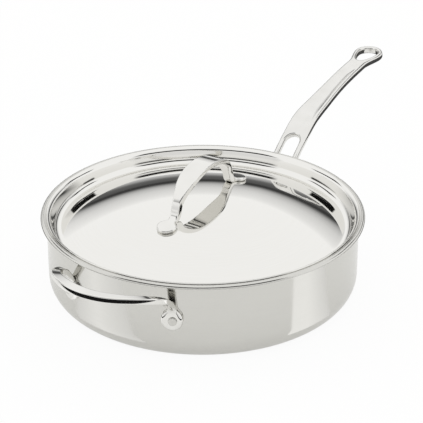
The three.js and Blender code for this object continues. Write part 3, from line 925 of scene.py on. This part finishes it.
@dataclass
class HelperHandle:
    """Cast helper handle: a bowed bar whose ends drop and broaden into two round feet on the wall."""

    bowl: Bowl
    foot_spacing: float = 104.0
    foot_drop: float = 35.0
    foot_radius: float = 9.7
    foot_thickness: float = 5.0
    foot_edge: float = 2.6
    neck_width: float = 10.5
    neck_length: float = 18.0
    bar_drop: float = 12.0
    bar_rise: float = 11.2
    stand_off: float = 13.0
    reach: float = 39.35
    end_width: float = 8.0
    bar_width: float = 10.5
    bar_thickness: float = 5.1
    bar_edge: float = 0.9
    bar_tilt: float = 4.5
    broad_from: float = 0.7
    row_step: float = 1.6

    @property
    def azimuth(self) -> float:
        """Angle of a foot from the middle of the handle, in radians."""
        return math.asin(self.foot_spacing / 2 / self.bowl.outer_radius)

    @property
    def wall(self) -> float:
        """Distance from the axis to the wall behind a foot, along the middle of the handle."""
        return self.bowl.outer_radius * math.cos(self.azimuth)

    def course(self) -> Array:
        """Middle line: up one foot, out of the wall, round a half ellipse and down the other foot.

        Returns:
            Points from the lower edge of one foot to that of the other.
        """
        half = self.foot_spacing / 2
        foot = self.wall + self.foot_thickness / 2
        height = self.bowl.height - self.foot_drop
        angle = np.linspace(0, np.pi, 23)
        climb = self.bar_rise * (1 - (1 - np.sin(angle))**2)
        out = self.wall + self.stand_off + self.reach * np.sin(angle)
        bow = rows_of(-out, half * np.cos(angle), self.bowl.height - self.bar_drop + climb)
        rise = np.array([-self.foot_radius, 0, self.foot_radius])
        leg = rows_of(-foot, half, height + rise)
        return smooth_line(np.concatenate([leg, bow, (leg * [1, -1, 1])[::-1]]), 16)

    def shape(self) -> Surface:
        """Both feet, necks and the bar as one forged bar.

        Returns:
            A closed surface.
        """
        track, end = footed_track(self.course(), self.foot_radius, self.row_step)
        rise = smoothstep(track.middle[:, 2], self.bowl.height - self.foot_drop + self.foot_radius,
                          self.bowl.height - self.bar_drop)
        side = np.sign(track.middle[:, 1])
        level = np.cross(UP, track.along) - UP * math.tan(math.radians(self.bar_tilt))
        rim = rows_of(-math.sin(self.azimuth), -math.cos(self.azimuth) * side, 0)
        share = rise[:, None]
        across = level * share + rim * (1 - share)
        across = unit(across - track.along * np.sum(across * track.along, axis=1, keepdims=True))
        narrow = smoothstep(end, self.foot_radius, self.foot_radius + self.neck_length)
        out = (-track.middle[:, 0] - self.wall - self.stand_off) / self.reach
        broad = (self.bar_width - self.end_width) * smoothstep(out, self.broad_from, 1)
        bar = mix(self.neck_width, self.end_width, narrow) + broad
        half = footed_half(end, self.foot_radius, bar / 2)
        thick = mix(self.foot_thickness, self.bar_thickness, rise)
        edge = mix(self.foot_edge, self.bar_edge, rise)
        return forged_bar(track, across, Plan(half, 0 * end, thick / 2, edge))

    def build(self, steel: Material) -> None:
        """Make the handle and hang it on the pan."""
        make_piece("helper_handle_cast", self.shape(), Body.PAN, ["helper_handle"], steel)

    def rivet_places(self) -> Places:
        """Places of the two rivets in the feet."""
        turn = math.degrees(self.azimuth)
        return rivet_pair("helper_handle", 180, turn, self.bowl.height - self.foot_drop, self.foot_thickness)


@dataclass
class Lid:
    """Spun lid: a flange that lies in the flare of the lip, a wall, a groove and a dome."""

    bowl: Bowl
    thickness: float = 1.46
    edge: float = 0.12
    overlap: float = -0.75
    flange: float = 1.0
    fold_radius: float = 5.5
    wall_slope: float = 73.5
    wall_drop: float = 7.1
    groove_radius: float = 5.7
    dome_slope: float = 22.8
    seat_gap: float = 0.04
    segments: int = 240
    dome_radius: float = field(init=False)
    dome_centre: float = field(init=False)

    def __post_init__(self) -> None:
        """Work out the ball that the dome is part of."""
        edge = self.groove_line(0)[-1]
        self.dome_radius = edge[0] / math.sin(math.radians(self.dome_slope))
        self.dome_centre = edge[1] - self.dome_radius * math.cos(math.radians(self.dome_slope))

    def groove_line(self, depth: float) -> Array:
        """Line from the fold down the wall and round the groove.

        Args:
            depth: distance below the upper face.

        Returns:
            Points from the upper end of the fold to the edge of the dome.
        """
        start = self.bowl.lip_point(-self.flange, -self.seat_gap - self.thickness)
        middle = start - self.bowl.lip_normal * self.fold_radius
        fold = arc(middle, self.fold_radius - depth, 90 + self.bowl.lip_tilt, 90 + self.wall_slope, 14)
        slope = math.radians(self.wall_slope)
        top = arc(middle, self.fold_radius, 90, 90 + self.wall_slope, 1)[-1]
        foot = top - self.wall_drop * np.array([1 / math.tan(slope), 1])
        turn = self.wall_slope - 90
        centre = arc(foot, -self.groove_radius, turn, turn, 0)[0]
        groove = arc(centre, self.groove_radius + depth, turn, -90 - self.dome_slope, 16)
        return np.concatenate([fold, line(fold[-1], groove[0]), groove])

    def face(self, depth: float) -> Array:
        """Line of one face from the edge of the flange to the axis.

        Args:
            depth: distance below the upper face.

        Returns:
            Points of radius and height.
        """
        edge = self.bowl.lip_point(self.overlap, depth - self.seat_gap - self.thickness)
        groove = self.groove_line(depth)
        dome = arc(np.array([0, self.dome_centre]), self.dome_radius - depth,
                   90 - self.dome_slope, 90, 48)[1:]
        dome[-1, 0] = 0
        return np.concatenate([[edge], line(edge, groove[0], 0.2), groove, dome])

    def height(self, reach: Array) -> Array:
        """Height of the dome's upper face at a distance from the axis."""
        return self.dome_centre + np.sqrt(self.dome_radius**2 - reach**2)

    def shell(self) -> Surface:
        """Both faces, joined round the edge of the flange by a flat with two small round corners.

        Returns:
            A closed surface.
        """
        upper, lower = self.face(0), self.face(self.thickness)
        inwards, tilt = self.bowl.lip_normal * self.edge, self.bowl.lip_tilt
        corners = [arc(lower[0] + inwards, self.edge, tilt - 90, tilt, 5)[1:],
                   arc(upper[0] - inwards, self.edge, tilt, tilt + 90, 5)[:-1]]
        return turned(np.concatenate([lower[::-1], *corners, upper]), self.segments)

    def build(self, steel: Material) -> None:
        """Make the shell and hang it on the lid."""
        make_piece("lid_spun_shell", self.shell(), Body.LID, ["lid_shell"], steel)


@dataclass
class LidHandle:
    """Cast arch on the lid: broad at the top, narrow in its legs, on two round feet."""

    lid: Lid
    foot_reach: float = 61.0
    foot_radius: float = 9.2
    foot_thickness: float = 3.4
    half_span: float = 46.0
    rise: float = 33.3
    width_top: float = 19.5
    width_leg: float = 8.0
    leg_share: float = 0.35
    thickness_top: float = 4.6
    thickness_leg: float = 6.6
    bend: float = 7.0
    edge: float = 0.8
    foot_edge: float = 1.6
    seat: float = 0.05
    row_step: float = 1.2
    foot_length: float = 14.72
    bend_length: float = 11.2
    # reaches of the points between the outer edge of a foot and the bend
    foot_points: tuple[float, ...] = (66.0, 62.0, 58.0)

    def course(self) -> Array:
        """Middle line: in along the dome, up through a bend, over a quarter ellipse, and its mirror.

        Returns:
            Points from the outer edge of one foot to that of the other.
        """
        offset = self.seat + self.foot_thickness / 2
        reach = np.array([self.foot_reach + self.foot_radius, *self.foot_points, self.half_span + self.bend])
        foot = rows_of(reach, 0, self.lid.height(reach) + offset)
        spring = self.lid.height(self.half_span) + offset
        rise = self.lid.height(0) + self.rise - spring
        angle = np.linspace(0, np.pi / 2, 40)
        arch = rows_of(self.half_span * np.cos(angle), 0, spring + rise * np.sin(angle))
        corner = np.array([self.half_span, 0, spring])
        arch = arch[arch[:, 2] > spring + self.bend]
        t = np.linspace(0, 1, 9)[1:-1, None]
        curve = (1 - t)**2 * foot[-1] + 2 * t * (1 - t) * corner + t**2 * arch[0]
        side = np.concatenate([foot, curve, arch])
        return smooth_line(np.concatenate([side * [-1, 1, 1], side[-2::-1]]), 8)

    def shape(self) -> Surface:
        """Feet, legs and arch as one forged bar.

        Returns:
            A closed surface.
        """
        track, end = footed_track(self.course(), self.foot_radius, self.row_step)
        spring = self.lid.height(self.half_span)
        top = self.lid.height(0) + self.rise
        crown = smoothstep(track.middle[:, 2], spring + self.leg_share * (top - spring), top)
        upright = smoothstep(end, self.foot_length, self.foot_length + self.bend_length)
        half = footed_half(end, self.foot_radius, mix(self.width_leg, self.width_top, crown) / 2)
        bar = mix(self.thickness_leg, self.thickness_top, crown)
        thick = mix(self.foot_thickness, bar, upright)
        across = np.broadcast_to(-SIDEWAYS, track.middle.shape)
        edge = mix(self.foot_edge, self.edge, upright)
        return forged_bar(track, across, Plan(half, 0 * end, thick / 2, edge))

    def build(self, steel: Material) -> None:
        """Make the handle and hang it on the lid."""
        make_piece("lid_handle_cast", self.shape(), Body.LID, ["lid_handle"], steel)


# Studio


@dataclass
class PhotoCamera:
    """Camera fitted to the photograph: its place round the lip, and the pixel of the lip's middle."""

    focal_px: float = 1620.4
    image_px: float = 423.0
    azimuth: float = CAMERA_AZIMUTH
    elevation: float = 26.0
    distance: float = 1482.3
    lip_pixel: tuple[float, float] = (202.9, 208.76)
    sensor: float = 36.0

    def build(self) -> None:
        """Make the camera and set it as the scene's."""
        data = bpy.data.cameras.new("photo_camera")
        data.sensor_width = self.sensor
        data.lens = self.focal_px / self.image_px * self.sensor
        turn, tilt = math.radians(self.azimuth), math.radians(self.elevation)
        level = math.cos(tilt)
        away = Vector((level * math.cos(turn), level * math.sin(turn), math.sin(tilt)))
        target = Vector((0, 0, LIP_HEIGHT))
        right = Vector((-math.sin(turn), math.cos(turn), 0))
        up = away.cross(right)
        offset = [self.image_px / 2 - pixel for pixel in self.lip_pixel]
        aim = -away + right * (offset[0] / self.focal_px) - up * (offset[1] / self.focal_px)
        camera = bpy.data.objects.new("photo_camera", data)
        camera.location = (target + away * self.distance) * MM
        camera.rotation_euler = aim.to_track_quat("-Z", "Y").to_euler()
        bpy.context.scene.collection.objects.link(camera)
        bpy.context.scene.camera = camera


# angles over which an edge passes into the floor and still looks sharp
SHARP_ENDS = (0.1, 0.1)


@dataclass
class Studio:
    """Plain white studio: a pale floor, an even world, and boards and sheets that only metal shows, which
    paint dark and bright reflections into it.
    """

    image_turn: float = CAMERA_AZIMUTH + 90
    floor_radius: float = 6000.0
    floor_segments: int = 96
    floor_colour: str = "#F4F4F2"
    floor_glow: float = 0.93
    mirrored_glow: float = 0.4
    mirrored_floor: float = 0.95
    world_colour: str = "#FFFFFF"
    world_strength: float = 1.06
    card_distance: float = 1500.0
    card_columns: int = 49
    sheet_columns: int = 97
    sheet_height: float = 1.0

    def floor(self) -> None:
        """Lay the floor, a round sheet under the pan that looks white and keeps a soft shadow."""
        angle = np.arange(self.floor_segments) * 2 * np.pi / self.floor_segments
        rim = ring(angle, self.floor_radius)
        material, tree = new_tree("studio_floor_matt_paint")
        paint = add_node(tree, "BsdfDiffuse", {"Color": linear(self.floor_colour)})
        white = add_node(tree, "Emission", {"Color": linear(self.world_colour), "Strength": 1.0})
        path = add_node(tree, "LightPath").outputs
        mirrored = add_node(tree, "Math", {"operation": "ADD"},
                            {0: path["Is Glossy Ray"], 1: path["Is Transmission Ray"]})
        part = add_node(tree, "Math", {"operation": "MULTIPLY", 1: self.mirrored_glow},
                        {0: mirrored.outputs[0]})
        share = add_node(tree, "Math", {"operation": "MULTIPLY_ADD", 1: self.floor_glow},
                         {0: path["Is Camera Ray"], 2: part.outputs[0]})
        both = add_node(tree, "MixShader",
                        links={0: share.outputs[0], 1: paint.outputs[0], 2: white.outputs[0]})
        add_node(tree, "OutputMaterial", links={"Surface": both.outputs[0]})
        floor = new_object("studio_floor", rim, [list(range(self.floor_segments))], material)

    def world(self) -> None:
        """Light everything evenly from a plain white world."""
        world = bpy.data.worlds.new("studio_world")
        world.use_nodes = True
        world.node_tree.nodes.clear()
        light = add_node(world.node_tree, "Background",
                         {"Color": linear(self.world_colour), "Strength": self.world_strength})
        add_node(world.node_tree, "OutputWorld", links={"Surface": light.outputs[0]})
        bpy.context.scene.world = world

    def show_in_metal_alone(self, name: str, points: Array, columns: int, tones: Array) -> None:
        """Make a glowing board that the camera and matt surfaces don't see: it lights nothing and is only a
        painted reflection in the metal.

        Args:
            name: name of the board.
            points: corners of its cells in millimetres, column after column.
            columns: number of columns.
            tones: brightness at each corner, where 1 is white.
        """
        material, tree = new_tree(f"{name}_painted_reflection")
        tone = add_node(tree, "Attribute", {"attribute_name": "tone"})
        glow = add_node(tree, "Emission", links={"Strength": tone.outputs["Fac"]})
        add_node(tree, "OutputMaterial", links={"Surface": glow.outputs[0]})
        cells = grid_faces(columns, points.shape[1], False).tolist()
        board = new_object(name, points.reshape(-1, 3), cells, material)
        shade = board.data.attributes.new("tone", "FLOAT", "POINT")
        shade.data.foreach_set("value", tones.ravel().astype(np.float32))
        board.visible_camera = board.visible_shadow = board.visible_diffuse = False

    def card(self, name: str, turn: tuple[float, float], tones: list[tuple[float, float]],
             fade: tuple[float, float], lift: tuple[float, float] = (0, 0)) -> None:
        """Hold a curved card, a painted reflection that only metal shows: the part R (cos e cos a, cos e sin
        a, sin e) of a ball round the lip's middle.

        Args:
            name: name of the card.
            turn: first and last azimuth a, in degrees from the right of the photograph.
            tones: elevation e in degrees and the brightness there, from the foot of the card to its top.
            fade: angles over which its first and last end pass into the world.
            lift: azimuth before which the card rises, and its rise for each degree.
        """
        rise, level = np.array(tones).T
        azimuth = np.linspace(*turn, self.card_columns)[:, None]
        a = np.radians(azimuth + self.image_turn)
        e = np.radians(rise + lift[1] * np.maximum(lift[0] - azimuth, 0))
        points = ring(a, np.cos(e), np.sin(e)) * self.card_distance + UP * LIP_HEIGHT
        share = np.clip(np.minimum((azimuth - turn[0]) / fade[0], (turn[1] - azimuth) / fade[1]), 0, 1)
        tone = mix(self.world_strength, level, share)
        self.show_in_metal_alone(name, points, self.card_columns, tone)

    def painted_reflection_sheet(self, name: str, edge: list[tuple[float, float]], turn: float, level: float,
                    fade: tuple[float, float] = SHARP_ENDS) -> None:
        """Lay a painted reflection round the pan, a sheet that only metal shows: each point r (cos a, sin a)
        of an edge is carried on round the axis.

        Args:
            name: name of the sheet.
            edge: radius r and azimuth a, in degrees from the right of the photograph, of its first edge.
            turn: angle to its last edge, in degrees.
            level: brightness of the painted reflection, where 1 is white.
            fade: angles over which its first and last edge pass into the floor.
        """
        radius, start = np.array(edge).T
        step = np.linspace(0, turn, self.sheet_columns)[:, None]
        a = np.radians(start + step + self.image_turn)
        points = ring(a, radius, self.sheet_height)
        share = np.clip(np.minimum(step / fade[0], (turn - step) / fade[1]), 0, 1)
        tone = mix(self.mirrored_floor, level, share) + 0 * a
        self.show_in_metal_alone(name, points, self.sheet_columns, tone)

    def build(self) -> None:
        """Set the whole studio and its view transform."""
        bpy.context.scene.view_settings.view_transform = "Standard"
        self.floor()
        self.world()
        # Painted reflections round the lip, boards that only metal shows: dark bands low at the back,
        # near-black bands at the sides and a dark band in front paint the dark lines and patches in the lid
        # and the lip.
        back = [(0.3, 0.61), (1.1, 0.57), (2.5, 0.44), (3.8, 0.31), (5.1, 0.16), (6.3, 0.12), (8.6, 0.1),
                (9.4, 0.05), (10.9, 0.045), (11.9, 0.18), (13, 0.4), (14.6, 0.59), (17.3, 0.76), (22, 0.92),
                (24, 1.03)]
        gap = [(25, 0.6), (26, 0.008), (34.5, 0.008), (35.5, 0.8)]
        front = [(0, 0.84), (12, 0.84), (20, 1), (26, 1), (28, 0.01), (47, 0.01), (50, 0.8), (60, 1)]
        self.card("back_board", (27, 137), back, (26, 26), (80, 0.28))
        self.card("painted_dark_band_right", (12, 50), gap, (2, 2))
        self.card("painted_dark_band_left", (130, 168), gap, (2, 2))
        self.card("front_board", (203, 332), front, (6, 6))
        # Painted reflections low round the pan, sheets that only metal shows: the two dark ones paint the
        # black edges of the handles, the two brighter than white paint highlights on the bowl's wall.
        self.painted_reflection_sheet("painted_dark_reflection", [(315, 180), (900, 180)], 125, 0.01)
        self.painted_reflection_sheet("painted_dim_reflection", [(370, 305), (900, 305)], 235, 0.07)
        self.painted_reflection_sheet("painted_highlight_right", [(150, 304), (292, 322)], 24, 1.2, (0.3, 14))
        self.painted_reflection_sheet("painted_highlight_left", [(150, 214), (289, 189)], 34, 1.14, (14, 18))


def main() -> None:
    """Build every piece in order, then the studio."""
    logging.basicConfig(level=logging.INFO, format="%(name)s: %(message)s")
    PhotoCamera().build()
    bowl_steel, handle_steel = BOWL_STEEL.material(), HANDLE_STEEL.material()
    bowl = Bowl()
    bowl.build(bowl_steel, CORE_ALUMINIUM.material())
    long_handle = LongHandle(bowl)
    long_handle.build(GRIP_STEEL.material())
    helper = HelperHandle(bowl)
    helper.build(handle_steel)
    Rivets(bowl).build(long_handle.rivet_places() | helper.rivet_places(), RIVET_STEEL.material())
    lid = Lid(bowl)
    lid.build(LID_STEEL.material())
    LidHandle(lid).build(handle_steel)
    Studio().build()


if __name__ == "__main__":
    main()
